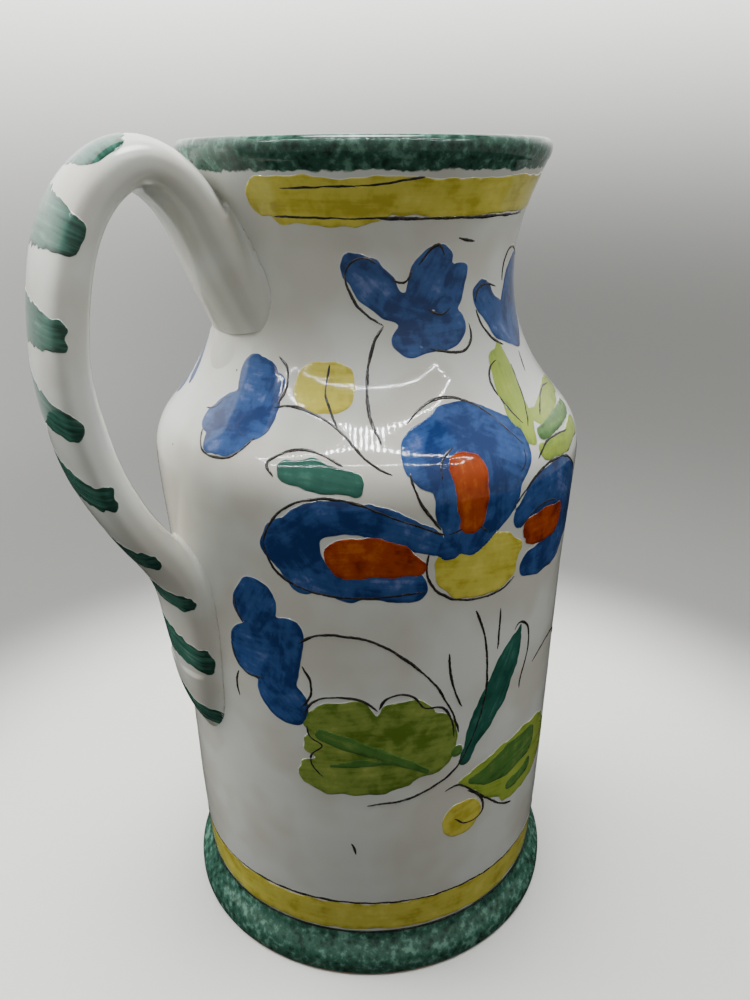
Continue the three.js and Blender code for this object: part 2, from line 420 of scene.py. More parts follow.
def face_of_wall(turn, height, lift=0.0):
    """Points in mm on the outside of the pot, turn degrees anticlockwise from the handle, and how
    they face. Lift is measured square to the wall."""
    turn, height, lift = np.broadcast_arrays(turn, height, lift)
    angle = np.radians(turn) + math.pi
    slope = outside(height + 0.5) - outside(height - 0.5)
    lean = np.hypot(1, slope)
    radius = outside(height) + hand_waver(angle, height) * outside(height) / 60
    along = np.stack([np.cos(angle) / lean, np.sin(angle) / lean, -slope / lean], -1)
    base = np.stack([radius * np.cos(angle), radius * np.sin(angle), height], -1)
    return base + along * lift[..., None], along


def on_wall(turn, height, lift=0.0):
    return face_of_wall(turn, height, lift)[0] * MM


for node_name, wad in WADS.items():
    reach = np.linspace(0, 1, WAD_RINGS)[1:, None]
    around = np.linspace(0, FULL_TURN, WAD_STEPS, endpoint=False)
    offset = reach * np.cos(around) * wad["across"] / 2
    height = wad["height"] + reach * np.sin(around) * wad["tall"] / 2
    turn = np.degrees(offset / outside(height))
    lift = swelling(offset, height)
    top = on_wall(turn, height, lift - 0.04).reshape(-1, 3)
    middle = on_wall(0.0, wad["height"], wad["proud"]).reshape(1, 3)
    under = on_wall(turn[-1], height[-1], -0.5)
    below = on_wall(0.0, wad["height"], -0.5).reshape(1, 3)
    points = np.vstack([top, under, middle, below])
    centre, bottom = len(points) - 2, len(points) - 1
    faces = [face[::-1] for face in sheet(WAD_RINGS, WAD_STEPS)]
    last = (WAD_RINGS - 1) * WAD_STEPS
    for i in range(WAD_STEPS):
        j = (i + 1) % WAD_STEPS
        faces.append((centre, i, j)[::-1])
        faces.append((bottom, last + i, last + j))
    piece = solid(node_name + "_smoothed", points, faces)
    piece.data.set_sharp_from_angle(angle=math.radians(60))
    piece.data.materials.append(white_glaze)
    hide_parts(node_name)

# Strap handle. Pulled by hand from a carrot of wet clay, so it is widest where it leaves the neck,
# flat with rounded edges, and tapers to a tail that is smeared down the belly.
STRAP_LINE = [
    (35, 188), (42.8, 203.5), (50.5, 220.5), (57.5, 230.7), (65.5, 234.4), (76, 229.5), (84.2, 215),
    (88.2, 189), (84.4, 163), (75.8, 143.5), (67, 129.5), (62.8, 112), (61.2, 92), (57, 78), (47, 66),
]
STRAP_SIZES = {
    0: (30, 14.5, 2.2), 30: (29.5, 13.6, 2.3), 60: (28.5, 12.6, 2.8), 130: (28, 12.2, 2.9),
    190: (27, 11.6, 2.7), 215: (24, 10, 2.3), 245: (15, 7, 2.1),
}
STRAP_START, STRAP_END = 9.0, 231.0
STRAP_CROWN = 0.8
FILLET = 3.2
KEYED_DEPTH = 2.4
STRAP_RINGS, STRAP_SIDES = 330, 168

line = np.array(STRAP_LINE, float)
chords = np.concatenate([[0], np.cumsum(np.hypot(*np.diff(line, axis=0).T))])
strap_line = smooth_curve(chords, line)
strap_size = smooth_curve(list(STRAP_SIZES), list(STRAP_SIZES.values()))


def seat(points, normals):
    """Opens clay out in a fillet where it meets the wall, and stops it inside the wall."""
    angle = np.arctan2(points[..., 1], points[..., 0])
    radius = np.hypot(points[..., 0], points[..., 1])
    height = points[..., 2]
    turn = np.degrees(np.arctan2(-points[..., 1], -points[..., 0]))
    face, outward = face_of_wall(turn, height)
    offset = np.radians(turn) * outside(height)
    wall = np.hypot(face[..., 0], face[..., 1]) + swelling(offset, height)
    flat = np.hypot(outward[..., 0], outward[..., 1])
    clear = (radius - wall) * flat
    gap = np.clip(clear, 0, FILLET)
    spread = FILLET - np.sqrt(FILLET ** 2 - (FILLET - gap) ** 2)
    facing = (normals * outward).sum(-1)
    side = normals - facing[..., None] * outward
    side = side / np.maximum(np.linalg.norm(side, axis=-1), 0.2)[..., None]
    share = np.clip(1 - facing, 0, 1) * np.clip((clear + FILLET) / FILLET, 0, 1)
    moved = points + side * (spread * share)[..., None]
    radius = np.hypot(moved[..., 0], moved[..., 1])
    least = outside(moved[..., 2]) - KEYED_DEPTH
    grow = np.maximum(radius, least) / radius
    return moved * np.stack([grow, grow, np.ones_like(grow)], -1)


def strap_face(along, around, lift=0.0):
    """Points in mm on the strap, along its middle line and round its section from the outer face."""
    along, around, lift = np.broadcast_arrays(along, around, lift)
    centre = strap_line(along)
    ahead = strap_line(along + 0.5) - strap_line(along - 0.5)
    ahead = ahead / np.linalg.norm(ahead, axis=-1)[..., None]
    outward = np.stack([-ahead[..., 1], ahead[..., 0]], -1)
    wide, thick, square = np.moveaxis(strap_size(along), -1, 0)
    wide, thick = wide / 2, thick / 2
    across, up = np.sin(around), np.cos(around)
    square = square - STRAP_CROWN * np.clip(up, 0, 1) * (square > 2.4)
    power = 2 / square
    x = wide * np.sign(across) * np.abs(across) ** power
    y = thick * np.sign(up) * np.abs(up) ** power
    slope = square - 1
    nx = np.sign(x) * (np.abs(x) / wide) ** slope / wide
    ny = np.sign(y) * (np.abs(y) / thick) ** slope / thick
    size = np.hypot(nx, ny)
    nx, ny = nx / size, ny / size
    pulled = 0.16 * np.sin(along / 9 + 2 * around) + 0.1 * np.sin(along / 4.3 - around)
    y = y + pulled * up
    reach = centre[..., 0] + outward[..., 0] * y
    points = np.stack([-reach, -x, centre[..., 1] + outward[..., 1] * y], -1)
    normals = np.stack([-outward[..., 0] * ny, -nx, outward[..., 1] * ny], -1)
    return seat(points, normals) + normals * lift[..., None]


along = np.linspace(STRAP_START, STRAP_END, STRAP_RINGS)[:, None]
around = np.linspace(0, FULL_TURN, STRAP_SIDES, endpoint=False)[None]
strap_points = strap_face(along, around).reshape(-1, 3)
strap_faces = sheet(STRAP_RINGS, STRAP_SIDES)
strap_faces.append(tuple(range(STRAP_SIDES))[::-1])
strap_faces.append(tuple(range((STRAP_RINGS - 1) * STRAP_SIDES, STRAP_RINGS * STRAP_SIDES)))
strap = solid("strap_handle_pulled", strap_points * MM, strap_faces)
strap.data.set_sharp_from_angle(angle=math.radians(60))
strap.data.materials.append(white_glaze)
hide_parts("strap_handle")

# Yellow bands. Two rings of antimony yellow, one under the lip and one over the foot, laid with a
# wide loaded brush while the pot turned. The upper one stops either side of the handle, and the
# lower one's two ends overlap on the side away from it.
YELLOW_THIN = "#EADF6A"
YELLOW_FULL = "#DBD058"
YELLOW_DEEP = "#BFB03C"
FILM = 0.08
SUNK = -0.15
GRID = 0.6
MARGIN = 2.0
LOWEST_MARK, HIGHEST_MARK = 1.0, 237.0

table = np.arange(0, 240.01, 0.25)
table_arc = np.concatenate([[0], np.cumsum(np.hypot(np.diff(outside(table)), np.diff(table)))])


def arc_at(height):
    """Length up the wall's face, in mm, at a height."""
    return np.interp(height, table, table_arc)


def height_at(arc):
    return np.interp(arc, table_arc, table)


def wander(seed, amount, reach):
    """A random smooth field on the pot, amount mm either way over about reach mm."""
    rng = np.random.default_rng(seed)
    waves = rng.normal(0, 1, (9, 3)) * FULL_TURN / reach / 1.7
    phases = rng.uniform(0, FULL_TURN, 9)

    def at(points):
        return amount * np.sin(points @ waves.T + phases).sum(-1) / 3

    return at


def mark_depth(mark, turn, arc, per_degree):
    """How deep each place lies inside a brush mark, in mm, with its place along and across the mark.
    A mark is a dab (turn, height, long, wide, tilt) or a list of (turn, height, radius) to sweep."""
    if isinstance(mark, tuple):
        centre, height, long, wide, tilt = mark
        x, y = (turn - centre) * per_degree, arc - arc_at(height)
        c, s = math.cos(math.radians(tilt)), math.sin(math.radians(tilt))
        along, across = x * c + y * s, y * c - x * s
        reach = np.sqrt((np.abs(along) / (long / 2)) ** 2.3 + (np.abs(across) / (wide / 2)) ** 2.3)
        return (1 - reach) * min(long, wide) / 2, along, across
    best, run = None, 0.0
    for (ta, za, ra), (tb, zb, rb) in zip(mark, mark[1:]):
        scale = math.radians(1) * float(outside((za + zb) / 2))
        bx, by = (tb - ta) * scale, float(arc_at(zb) - arc_at(za))
        x, y = (turn - ta) * per_degree, arc - arc_at(za)
        length = max(math.hypot(bx, by), 1e-6)
        share = np.clip((x * bx + y * by) / length ** 2, 0, 1)
        across = (bx * y - by * x) / length
        depth = ra + (rb - ra) * share - np.hypot(x - share * bx, y - share * by)
        found = (depth, run + share * length, across)
        if best is None:
            best = found
        else:
            nearer = depth > best[0]
            best = tuple(np.where(nearer, new, old) for new, old in zip(found, best))
        run += length
    return best


def film(name, surface, values, lift, sunk):
    """A closed thin solid over the part of a grid where its third value, the depth, is above zero.
    The values at each place are: two surface coordinates, depth, along, across, seed and coats."""
    wet = values[..., 2] > 0
    kept = np.full(wet.shape, -1)
    kept[wet] = np.arange(wet.sum())
    spots = [values[wet]]
    count = len(spots[0])
    crossing = {}
    for axis, near, far in ((0, (slice(None, -1), slice(None)), (slice(1, None), slice(None))),
                            (1, (slice(None), slice(None, -1)), (slice(None), slice(1, None)))):
        at = np.argwhere(wet[near] != wet[far])
        a, b = values[near][tuple(at.T)], values[far][tuple(at.T)]
        share = (a[:, 2] / (a[:, 2] - b[:, 2]))[:, None]
        spots.append(a + (b - a) * share)
        for number, (i, j) in enumerate(at.tolist()):
            crossing[axis, i, j] = count + number
        count += len(at)
    spots = np.vstack(spots)
    corners = [wet[:-1, :-1], wet[:-1, 1:], wet[1:, 1:], wet[1:, :-1]]
    full = corners[0] & corners[1] & corners[2] & corners[3]
    some = (corners[0] | corners[1] | corners[2] | corners[3]) & ~full
    ids = [kept[:-1, :-1], kept[:-1, 1:], kept[1:, 1:], kept[1:, :-1]]
    faces = np.stack([corner[full] for corner in ids], -1).tolist()
    for i, j in np.argwhere(some).tolist():
        walk = [(i, j), (i, j + 1), (i + 1, j + 1), (i + 1, j)]
        edges = [(1, i, j), (0, i, j + 1), (1, i + 1, j), (0, i, j)]
        outline = []
        for k in range(4):
            if kept[walk[k]] >= 0:
                outline.append(int(kept[walk[k]]))
            if edges[k] in crossing:
                outline.append(crossing[edges[k]])
        faces.append(outline)
    directed = {(face[k], face[(k + 1) % len(face)]) for face in faces for k in range(len(face))}
    rim = [(a, b) for a, b in directed if (b, a) not in directed]
    faces += [[v + count for v in face[::-1]] for face in faces]
    faces += [[b, a, a + count, b + count] for a, b in sorted(rim)]
    depth = spots[:, 2]
    rise = lift * (0.3 + 0.7 * np.clip(depth / 0.7, 0, 1) ** 0.5)
    top = surface(spots[:, 0], spots[:, 1], rise)
    bottom = surface(spots[:, 0], spots[:, 1], np.full(len(spots), sunk))
    piece = solid(name, np.vstack([top, bottom]), faces)
    doubled = np.vstack([spots, spots])
    for label, column in (("edge_mm", 2), ("coats", 6)):
        piece.data.attributes.new(label, "FLOAT", "POINT").data.foreach_set("value", doubled[:, column])
    piece.data.attributes.new("brush_mm", "FLOAT_VECTOR", "POINT").data.foreach_set(
        "vector", doubled[:, 3:6].ravel())
    return piece


def layered(marks, gaps, turn, arc, per_degree, points, seed, ragged):
    """Depth, brush place and number of coats where several marks run together."""
    depth, brush, coats = None, None, 0.0
    for number, mark in enumerate(marks):
        inside_mark, along, across = mark_depth(mark, turn, arc, per_degree)
        coats = coats + np.clip(inside_mark / 1.2, 0, 1)
        here = np.stack([along, across, np.full(turn.shape, 7.3 * number + seed)], -1)
        if depth is None:
            depth, brush = inside_mark, here
        else:
            brush = np.where((inside_mark > depth)[..., None], here, brush)
            near = np.clip(0.5 + (inside_mark - depth) / 1.6, 0, 1)
            depth = depth + (inside_mark - depth) * near + 0.8 * near * (1 - near)
    depth = depth + wander(seed, ragged, 8.0)(points) + wander(seed + 1, ragged * 0.25, 3.0)(points)
    for gap in gaps:
        bare = mark_depth(gap, turn, arc, per_degree)[0]
        depth = np.minimum(depth, wander(seed + 2, 0.3, 4.0)(points) - bare)
    return depth, brush, coats


def painted(name, material, slot, marks, gaps=(), seed=0, lift=FILM, ragged=0.45, grid=GRID):
    """Brush marks on the wall, as one thin film of colour."""
    turns, heights, reach = [], [], []
    for mark in marks:
        for spot in [mark] if isinstance(mark, tuple) else mark:
            turns.append(spot[0])
            heights.append(spot[1])
            reach.append(max(spot[2:4]) / 2 if isinstance(mark, tuple) else spot[2])
    scale = math.radians(1) * float(outside(np.mean(heights)))
    pad = max(reach) + MARGIN
    turn = np.arange(min(turns) - pad / scale, max(turns) + pad / scale, grid / scale)
    arc = np.arange(arc_at(min(heights)) - pad, arc_at(max(heights)) + pad, grid)
    turn, arc = np.meshgrid(turn, np.clip(arc, arc_at(LOWEST_MARK), arc_at(HIGHEST_MARK)))
    height = height_at(arc)
    points = on_wall(turn, height) / MM
    per_degree = math.radians(1) * outside(height)
    depth, brush, coats = layered(marks, gaps, turn, arc, per_degree, points, seed, ragged)
    values = np.concatenate([np.stack([turn, height, depth], -1), brush, coats[..., None]], -1)
    piece = film(name, on_wall, values, lift, SUNK)
    piece.data.materials.append(material)
    return piece


def pigment(name, thin, full, deep, streaks=0.35, mottle=0.8, level=0.0):
    """Metal oxide in water, brushed on raw tin glaze and melted into it: streaked along the stroke,
    mottled where it soaked in, darker where coats overlap, and softly bled at its edge. The brush
    hairs' streaks are 1.3 mm wide and 11 mm long, and the mottle's patches about 7 mm."""
    material, tree = new_material(name)
    place = add(tree, "TexCoord", out="Object")
    brush = add(tree, "Attribute", out="Vector", attribute_name="brush_mm")
    edge = add(tree, "Attribute", out="Fac", attribute_name="edge_mm")
    coats = add(tree, "Attribute", out="Fac", attribute_name="coats")
    drawn = add(tree, "VectorMath", {0: brush, 1: (0.09, 0.8, 1.0)}, operation="MULTIPLY")
    hairs = add(tree, "TexNoise", {"Vector": drawn, "Scale": 1.0, "Detail": 3})
    soak = add(tree, "TexNoise", {"Vector": place, "Scale": 1 / (7 * MM), "Detail": 4, "Roughness": 0.6})
    start = level - 0.5 * mottle - 0.5 * streaks + 0.5
    tone = add(tree, "Math", {0: soak, 1: mottle, 2: start}, operation="MULTIPLY_ADD")
    tone = add(tree, "Math", {0: hairs, 1: streaks, 2: tone}, operation="MULTIPLY_ADD")
    more = add(tree, "MapRange", {0: coats, 1: 1.0, 2: 2.2, 3: 0.0, 4: 0.12}, **EASED)
    tone = add(tree, "Math", {0: tone, 1: more}, operation="ADD")
    pooled = add(tree, "MapRange", {0: edge, 1: 0.5, 2: 1.6, 3: 0.07, 4: 0.0}, **EASED)
    tone = add(tree, "Math", {0: tone, 1: pooled}, operation="ADD")
    covered = add(tree, "MapRange", {0: tone, 1: 0.3, 2: 0.5}, **EASED)
    colour = add(tree, "Mix", {0: covered, 6: srgb(thin), 7: srgb(full)}, **COLOURS)
    heavy = add(tree, "MapRange", {0: tone, 1: 0.5, 2: 0.72}, **EASED)
    colour = add(tree, "Mix", {0: heavy, 6: colour, 7: srgb(deep)}, **COLOURS)
    kept = add(tree, "MapRange", {0: edge, 1: 0.0, 2: 0.16}, **EASED)
    colour = add(tree, "Mix", {0: kept, 6: srgb(TIN_WHITE), 7: colour}, **COLOURS)
    add(tree, "OutputMaterial", {"Surface": fired_glaze(tree, place, colour, hairs)})
    return material


antimony_yellow = pigment("antimony_yellow_brushed", YELLOW_THIN, YELLOW_FULL, YELLOW_DEEP, 0.3, 0.95, 0.02)

upper_band = [(t, 226.8 + 0.3 * math.sin(t / 17), 4.7) for t in range(26, 336, 14)]
painted("yellow_band_under_lip", antimony_yellow, "yellow_glaze",
        [upper_band, [(32, 224.0, 3.4), (48, 223.4, 3.6), (62, 224.2, 3.2)]], seed=11, ragged=0.35)

LOW_BAND, HIGH_BAND = 14.4, 25.8
middle, half = (LOW_BAND + HIGH_BAND) / 2, (HIGH_BAND - LOW_BAND) / 2
painted("yellow_band_over_foot", antimony_yellow, "yellow_glaze",
        [[(t, middle, half) for t in range(-168, 169, 14)]], seed=23, ragged=0.35)
painted("yellow_band_overlap", antimony_yellow, "yellow_glaze",
        [[(165, middle, half - 0.2), (195, middle, half - 0.2)]], seed=27, lift=0.12, ragged=0.35)

# Ink lines. The drawing, put on first with a thin manganese brush line and gone over by the
# colours, which part from it a little. Two lines ring the foot and one underlines the upper band.
INK = "#2A2724"
INK_WORN = "#5B5550"
LINE_WIDTH = 0.85
LINE_RISE = 0.13


def manganese_ink():
    """Manganese line fired into the glaze: brown-black, broken where the brush ran dry."""
    material, tree = new_material("manganese_ink_line")
    place = add(tree, "TexCoord", out="Object")
    worn = add(tree, "TexNoise", {"Vector": place, "Scale": 1 / (1.6 * MM), "Detail": 4, "Roughness": 0.7})
    dry = add(tree, "MapRange", {0: worn, 1: 0.5, 2: 0.72}, **EASED)
    colour = add(tree, "Mix", {0: dry, 6: srgb(INK), 7: srgb(INK_WORN)}, **COLOURS)
    add(tree, "OutputMaterial", {"Surface": fired_glaze(tree, place, colour, worn)})
    return material


ink = manganese_ink()


def inked(name, lines, seed=0, width=LINE_WIDTH, shift=0.0):
    """Thin brush lines through (turn, height) places, as one piece of narrow ridges with fine ends."""
    rng = np.random.default_rng(seed)
    points, faces = [], []
    for line in lines:
        through = np.array(line, float) + (shift, 0)
        scale = np.radians(1) * outside(through[:, 1].mean())
        flat = np.stack([through[:, 0] * scale, arc_at(through[:, 1])], -1)
        chord = np.concatenate([[0], np.cumsum(np.hypot(*np.diff(flat, axis=0).T))])
        count = max(6, round(chord[-1] / 0.55))
        run = np.linspace(0, chord[-1], count)
        path = smooth_curve(chord, flat)(run) if len(flat) > 2 else flat[0] + (flat[1] - flat[0]) * (
            run / chord[-1])[:, None]
        drift = np.convolve(rng.normal(0, 1, count + 8), np.ones(5) / 5, "same")[4:-4]
        press = np.convolve(rng.normal(0, 1, count + 12), np.ones(7) / 7, "same")[6:-6]
        ahead = np.gradient(path, axis=0)
        ahead = ahead / np.linalg.norm(ahead, axis=1)[:, None]
        across = np.stack([-ahead[:, 1], ahead[:, 0]], -1)
        path = path + across * (0.16 * drift)[:, None]
        ends = np.clip(np.minimum(run, chord[-1] - run) / 2.2, 0, 1) ** 0.6
        half = width / 2 * np.clip(1 + 0.45 * press, 0.5, 1.7) * (0.3 + 0.7 * ends)
        start = len(points)
        for side, rise in ((-1, SUNK), (-0.75, 0.5 * LINE_RISE), (0, LINE_RISE), (0.75, 0.5 * LINE_RISE),
                           (1, SUNK)):
            spot = path + across * (side * half)[:, None]
            points.extend(on_wall(spot[:, 0] / scale, height_at(spot[:, 1]), rise).tolist())
        for k in range(5):
            here, there = start + k * count, start + (k + 1) % 5 * count
            for i in range(count - 1):
                faces.append((here + i, here + i + 1, there + i + 1, there + i))
        faces.append(tuple(start + k * count for k in range(5)))
        faces.append(tuple(start + k * count + count - 1 for k in range(5))[::-1])
    piece = solid(name, points, faces)
    piece.data.materials.append(ink)
    return piece


inked("ink_lines_of_bands", [
    [(-179, 13.2)] + [(t, 13.2 + 0.25 * math.sin(t / 31)) for t in range(-172, 173, 8)] + [(179, 13.2)],
    [(-179, 25.9)] + [(t, 25.9 + 0.3 * math.sin(t / 23)) for t in range(-172, 173, 8)] + [(179, 25.9)],
    [(33, 228.7), (45, 229), (62, 229.5), (74, 231)],
    [(29, 222.3), (60, 222), (100, 221.7), (124, 222)],
    [(89, 217), (92.5, 216.4), (96, 216)],
    [(190, 229), (214, 228.6), (236, 230)],
    [(176, 222), (210, 221.8), (262, 222.2), (318, 222)],
], seed=5)

# Blue flowers. Cobalt, laid in single loaded dabs that overlap into petals, so each shows a lobed
# edge, streaks, and paler places where the brush lifted. They are painted again on the back.
BLUE_THIN = "#6F80B8"
BLUE_FULL = "#365994"
BLUE_DEEP = "#213A6E"
BACK_TURN = 163.0

cobalt = pigment("cobalt_blue_brushed", BLUE_THIN, BLUE_FULL, BLUE_DEEP, 0.3, 0.95, 0.05)


def moved(marks, turn):
    """The same brush marks, further round the pot."""
    return [(mark[0] + turn, *mark[1:]) if isinstance(mark, tuple) else moved(mark, turn) for mark in marks]


def both_sides(name, material, slot, marks, lines=(), gaps=(), seed=0, **how):
    """Paints a motif on the front and again on the back, where it comes out a little different."""
    for side, turn in (("front", 0.0), ("back", BACK_TURN)):
        seed += 1 if turn == 0 else 40
        if marks:
            painted(f"{name}_{side}", material, slot, moved(marks, turn), moved(gaps, turn), seed, **how)
        if lines:
            inked(f"{name}_lines_{side}", lines, seed, shift=turn)


both_sides("blue_neck_flower", cobalt, "blue_glaze", [
    (60, 206.5, 20, 9.5, -45),
    (79.5, 207.5, 17, 11.5, 62),
    (88.8, 206.5, 12, 7, 75),
    (80, 195, 20, 10, 3),
    (72, 193.5, 10, 8, 0),
    [(68, 201, 4.2), (75, 199.5, 4.4)],
    (84.5, 201, 7, 6, 0),
], [
    [(61, 211.5), (56, 213), (51.5, 210.5), (52, 205), (57, 200), (63, 197)],
    [(75, 211), (78, 214), (82, 215.5), (84, 213)],
    [(78, 191), (85, 189.8), (92, 190), (95, 193), (94.5, 196)],
    [(78.5, 200.5), (83, 199), (87, 200.5)],
    [(66, 208), (70, 207), (73, 210)],
    [(63, 197), (60, 193), (58, 187), (57.5, 181), (58.5, 176), (61, 171)],
], seed=31)

both_sides("blue_side_flower", cobalt, "blue_glaze", [
    (109, 197, 22, 9.5, -48),
    (126, 199, 26, 16, 70),
], [
    [(98.5, 201), (100, 204), (105, 205), (111, 204)],
    [(98.5, 199), (101, 195), (106, 191), (111, 189)],
    [(116, 205), (117, 210), (121, 213), (128, 212.5), (133, 210.5)],
    [(121, 186), (120, 183.5), (119, 181)],
], seed=34)

both_sides("blue_shoulder_flower", cobalt, "blue_glaze", [
    (22.3, 183.5, 12.5, 12, 0),
    (27.5, 179.5, 14, 9.5, 82),
    (26, 174.3, 12, 10.5, 0),
    (18.5, 175.8, 16, 11, 20),
    (12.3, 172.7, 9, 7.5, 0),
    (19.8, 169.3, 15, 9, 8),
], [
    [(10, 170), (13, 166.5), (18, 165.2), (24, 166.5), (28.5, 171)],
    [(29, 189), (32, 187), (33.5, 182), (32, 178.5)],
    [(6.5, 174.5), (9, 174.8), (12, 177)],
    [(31, 177.5), (36, 178.3), (42, 177.3), (48, 175.2), (54, 171), (58, 167.5), (63, 164.7)],
], seed=37)

both_sides("blue_great_flower", cobalt, "blue_glaze", [
    [(74, 168.5, 9.5), (83, 170.3, 11), (91.5, 166.5, 11)],
    [(84, 165, 15), (84, 158, 13), (82, 150, 8.5), (81, 146.5, 5)],
    [(72.5, 146, 3.2), (66, 149.5, 5.2), (57, 152.8, 6.0), (47, 152, 7.2), (40, 146, 7.8)],
    [(40, 146, 7.8), (44, 139.5, 6.8), (53, 136.5, 5.0), (62, 135.2, 4.0), (67.5, 134.5, 4.6)],
    [(97, 149, 3.6), (103, 153, 6.2), (112, 153.5, 7.2), (121, 148, 8.0), (124, 140, 7.5)],
    [(124, 140, 7.5), (118, 134, 6.8), (108, 132, 5.0), (102.5, 133, 4.2)],
    (76.5, 144.5, 7.4, 7.2, 0),
    (87, 148.5, 6, 5, 0),
], [
    [(67, 165), (69, 158), (72, 153), (74, 150)],
    [(68, 175), (72, 178), (77, 179.6), (84, 179.2), (91, 176), (96, 171), (99, 167)],
    [(98.5, 166), (98, 163), (96, 161)],
    [(33, 146), (36, 153), (41, 157.5), (48, 159.3), (54, 158.5), (60, 156), (68, 152), (75, 148.5)],
    [(33, 146), (34.5, 140), (40, 135), (46, 133), (52, 132.3), (62, 132.4), (71, 133)],
    [(94, 152), (98, 156), (104, 159.5), (112, 160.3), (120, 158), (127, 152)],
    [(97, 145), (101, 148), (106, 149.5), (112, 148.5)],
    [(71.5, 144), (71, 139), (73.5, 133), (78, 129.5), (85, 127.7), (92, 128), (97, 130.5)],
    [(76, 148.5), (80, 149.5), (84, 149), (86, 147)],
], gaps=[(53.8, 145, 15.5, 10, -10), (108.5, 142.5, 20, 8.5, -2)], seed=40)

both_sides("blue_low_flower", cobalt, "blue_glaze", [
    (28.5, 126.5, 16, 14, 60),
    (28, 111.5, 19, 18, 0),
    (31, 119.5, 13, 10, 60),
    (36, 113.5, 24, 10.5, 82),
    (33.5, 105, 13, 11, 80),
    (34.5, 98.5, 18, 13, -50),
], [
    [(22.5, 127), (22.8, 122.5), (24.5, 119.5)],
    [(19.5, 112), (20.5, 107), (24, 103.5), (29.5, 103.5)],
    [(21, 103), (19.8, 98), (20.5, 94.5)],
    [(40.5, 110), (42.5, 106), (42, 100), (39.5, 96.5)],
    [(40, 117), (44, 120), (50, 120.7), (57, 119.5), (64, 115), (71, 108), (76, 100.5), (80, 92), (82, 85.5)],
], seed=43)

both_sides("blue_bud", cobalt, "blue_glaze", [
    (143, 130, 15, 9, 80),
    (146, 121, 13, 8, 60),
], [
    [(110, 97), (118, 99.5), (127, 99), (135, 93), (143, 84)],
    [(137, 133), (136.5, 127), (139, 120)],
], seed=46)
painted("blue_leaf_behind_handle", cobalt, "blue_glaze",
        [(-19, 182, 17, 4.5, -60), (-27, 177, 14, 7, -50)], seed=51)

# Orange hearts. Iron orange, brushed on the bare middles of the blue petals in one thick load, so
# that it stands up a little and fires patchy, from bright orange to brown.
ORANGE_THIN = "#C8661F"
ORANGE_FULL = "#AC440A"
ORANGE_DEEP = "#7E2606"

iron_orange = pigment("iron_orange_brushed", ORANGE_THIN, ORANGE_FULL, ORANGE_DEEP, 0.3, 1.1, 0.02)
both_sides("orange_hearts", iron_orange, "orange_glaze", [
    [(81.3, 164, 5.2), (81.5, 157, 4.9), (82, 151.5, 4.0)],
    [(53, 143.2, 6.0), (58, 143.8, 5.6), (64, 142.2, 4.6), (69, 139.8, 2.5)],
    (108, 142.5, 23, 10.5, -2),
], [
    [(51.9, 143), (52.4, 144.3), (54, 144.2), (54.2, 142.4), (52.9, 141.7), (51.9, 143)],
    [(74.3, 163), (75, 167), (78.5, 169.3)],
], seed=52, lift=0.16)

# Yellow hearts. The same antimony yellow as the bands, dabbed on in thin round pools: the great
# flower's centre, a berry on its stem and a curled bud.
both_sides("yellow_hearts", antimony_yellow, "yellow_glaze", [
    (85.5, 137.5, 28, 18.5, -8),
    (45.3, 182.6, 15.5, 13.5, 0),
    (84.5, 53.5, 13.5, 12.5, 20),
], [
    [(46, 188), (45.8, 184), (46, 181), (48, 177), (50, 174)],
    [(86, 63), (90, 59.5), (91.8, 55.5), (91.8, 53), (89.5, 51), (85.5, 51.2), (82, 54)],
    [(52, 50), (52.8, 48), (53.3, 46)],
], seed=55, lift=0.06)

# Leaves. Olive and light green, mixed from copper and yellow and laid in broad wet dabs that run
# together, then veined in a darker green with the same brush.
OLIVE_THIN = "#A9B35C"
OLIVE_FULL = "#8A9E48"
OLIVE_DEEP = "#5F7A2C"
LEAF_THIN = "#B0C054"
LEAF_FULL = "#A0B448"
LEAF_DEEP = "#7E9B36"
VEIN_THIN = "#7C9C50"
VEIN_FULL = "#56803C"
VEIN_DEEP = "#39612B"

olive = pigment("olive_green_brushed", OLIVE_THIN, OLIVE_FULL, OLIVE_DEEP, 0.3, 0.9, 0.02)
light_green = pigment("light_green_brushed", LEAF_THIN, LEAF_FULL, LEAF_DEEP, 0.35, 0.7, 0.0)
vein_green = pigment("copper_green_veins", VEIN_THIN, VEIN_FULL, VEIN_DEEP, 0.4, 0.8, 0.0)

both_sides("olive_leaves", olive, "leaf_glaze", [
    (50, 93, 21, 13, 10),
    (67, 93, 17, 13, -10),
    (72, 83.5, 20, 22, 0),
    (55, 75.5, 36, 15, 4),
    (52, 85, 24, 12, 0),
    (62, 85, 24, 14, 0),
], [
    [(40, 94), (43, 99), (49, 101.2), (56, 100), (59.5, 97)],
    [(60, 97.5), (61, 100), (65, 101.8), (69, 100.3), (71.5, 96.5), (76, 95.7), (79, 92), (80.5, 84)],
    [(41, 91), (42, 87), (45, 84.5), (42.5, 82), (42.3, 77), (45, 74)],
    [(85, 124), (88, 116), (89.8, 106), (90, 96), (88.5, 88), (85.5, 80), (81.5, 73), (76, 69), (69, 66),
     (62, 64.8), (56.5, 64.2)],
    [(93, 122), (93.3, 115), (93.2, 109)],
    [(78, 112.5), (78.5, 107), (80, 100), (82.5, 94)],
], seed=61)
both_sides("olive_leaf_veins", vein_green, "leaf_glaze", [
    [(45, 88, 2.4), (52, 86, 2.3), (60, 82, 2.0), (68, 78, 1.6), (73, 74.5, 1.1)],
    [(47, 78, 1.1), (55, 79.5, 1.4), (63, 79, 1.1)],
    (81.5, 79, 3.6, 3.6, 0),
], seed=64, lift=0.15, ragged=0.3)

